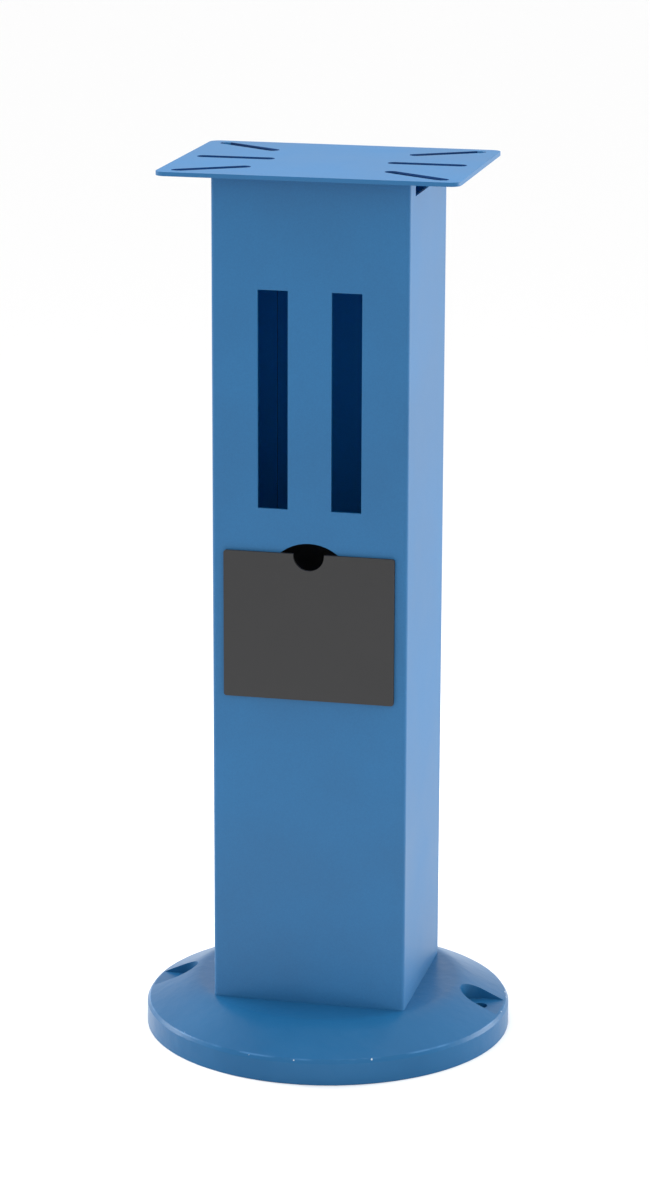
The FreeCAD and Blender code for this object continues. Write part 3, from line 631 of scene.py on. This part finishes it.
low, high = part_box("base_bolts")
half_x = high.x - M10["across"] / math.sqrt(3)
half_y = high.y - M10["across"] / 2
seat = low.z + M10["height"]
bolt_places = [(sx * half_x, sy * half_y, seat) for sx in (-1, 1) for sy in (-1, 1)]
bolt = fastener(length=high.z - seat, **M10)
set_of(bolt, bolt_places, Matrix.Identity(4), "base_bolts_threaded", "base_bolts")

# %% Cover screws
M5 = {"across": 8 * MM, "height": 3.5 * MM, "diameter": 4.9 * MM, "pitch": 0.8 * MM}

low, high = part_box("rear_panel_screws")
half_x = high.x - M5["across"] / math.sqrt(3)
seat = high.y - M5["height"]
screw_places = [(sx * half_x, seat, level) for sx in (-1, 1)
                for level in (low.z + M5["across"] / 2, high.z - M5["across"] / 2)]
screw = fastener(length=seat - low.y, **M5)
head_to_rear = Matrix.Rotation(math.radians(90), 4, "X")
set_of(screw, screw_places, head_to_rear, "cover_screws_threaded", "rear_panel_screws")

# %% Washers and nuts
SMALL_EDGE = 0.3 * MM

for small in ("base_spring_washers", "foot_weld_nuts", "rear_panel_nuts"):
    dress(small, "stand", zinc, SMALL_EDGE)

# %% [markdown]
# ## Studio
# A stand like this is shot in a white tent. The world is an even white of
# strength 1, which lights every side alike, leaves only soft shadows and gives a
# white background from anywhere. The floor is a pale matt plane that runs out of
# view. Light from all round is flat, so three soft boxes model the shape: one
# overhead lifts the plate, and one behind each shoulder lifts the right side and
# the left of the base. A grid on a box keeps its light off the floor. Watts mean
# little by themselves: the light on a face falls with the square of the distance.

# %% Floor and light
FLOOR_SIZE = 40.0
FLOOR_DROP = 0.2 * MM       # a hair under the rim of the base, so that the two don't lie in one plane
MIDDLE = (0.0, 0.0, 0.45)   # of the stand


def studio_floor():
    """Pale matt floor."""
    mesh = bmesh.new()
    bmesh.ops.create_grid(mesh, x_segments=1, y_segments=1, size=FLOOR_SIZE / 2)
    bmesh.ops.translate(mesh, verts=mesh.verts, vec=(0, 0, -FLOOR_DROP))
    data = bpy.data.meshes.new("studio_floor")
    mesh.to_mesh(data)
    mesh.free()
    floor = bpy.data.objects.new("studio_floor", data)
    bpy.context.scene.collection.objects.link(floor)
    material, tree, _ = start_material("studio_floor")
    shader = add(tree, "ShaderNodeBsdfPrincipled", {"Base Color": linear("#fdfdfd"), "Roughness": 0.9})
    add(tree, "ShaderNodeOutputMaterial", {"Surface": shader.outputs["BSDF"]})
    data.materials.append(material)


def soft_box(name, place, size, power, aim=MIDDLE, spread=180):
    """Square area light that faces its aim. A grid on the box narrows its spread, in degrees."""
    data = bpy.data.lights.new(name, "AREA")
    data.size = size
    data.energy = power
    data.spread = math.radians(spread)
    light = bpy.data.objects.new(name, data)
    light.location = place
    light.rotation_euler = (Vector(aim) - Vector(place)).to_track_quat("-Z", "Y").to_euler()
    bpy.context.scene.collection.objects.link(light)
    print(f"{name}: {power} W")


studio_floor()
soft_box("right_box", place=(2.2, 1.5, 0.85), size=1.2, power=6.4, aim=(0.0, 0.0, 0.62), spread=50)
soft_box("left_box", place=(-2.4, 0.6, 1.3), size=1.4, power=9.5, aim=(-0.1, 0.0, 0.05), spread=70)
soft_box("top_box", place=(0.1, -0.1, 2.0), size=0.9, power=14.5)
world = bpy.data.worlds.new("studio_white")
bpy.context.scene.world = world
world.use_nodes = True
world.node_tree.nodes["Background"].inputs["Color"].default_value = linear("#ffffff")
world.node_tree.nodes["Background"].inputs["Strength"].default_value = 1.0
bpy.context.scene.view_settings.view_transform = "Standard"
print("lights:", len(bpy.data.lights))

# %% [markdown]
# ## Camera
# The camera stands at chest height, in front and a little to the right, with a long
# lens that keeps the column's edges nearly parallel. The sensor's 36 mm lie along
# the long, upright side of the picture.

# %% Camera
CAMERA_AZIMUTH = math.radians(12.92)        # to the right of straight ahead
CAMERA_ELEVATION = math.radians(14.90)
CAMERA_ROLL = math.radians(0.19)
CAMERA_PLACE = Vector((0.7863, -3.4472, 1.3725))
CAMERA_LENS = 113.0         # focal length, in millimetres as Blender takes it
CAMERA_SENSOR = 36.0


def place_camera():
    """Camera from its place, direction and roll."""
    data = bpy.data.cameras.new("camera")
    data.sensor_width = CAMERA_SENSOR
    data.lens = CAMERA_LENS
    camera = bpy.data.objects.new("camera", data)
    bpy.context.scene.collection.objects.link(camera)
    level_part = math.cos(CAMERA_ELEVATION)
    back = Vector((math.sin(CAMERA_AZIMUTH) * level_part, -math.cos(CAMERA_AZIMUTH) * level_part,
                   math.sin(CAMERA_ELEVATION)))
    turn = back.to_track_quat("Z", "Y").to_matrix() @ Matrix.Rotation(CAMERA_ROLL, 3, "Z")
    camera.matrix_world = Matrix.Translation(CAMERA_PLACE) @ turn.to_4x4()
    bpy.context.scene.camera = camera
    return camera


camera = place_camera()
print("camera at", [round(v, 3) for v in camera.location])
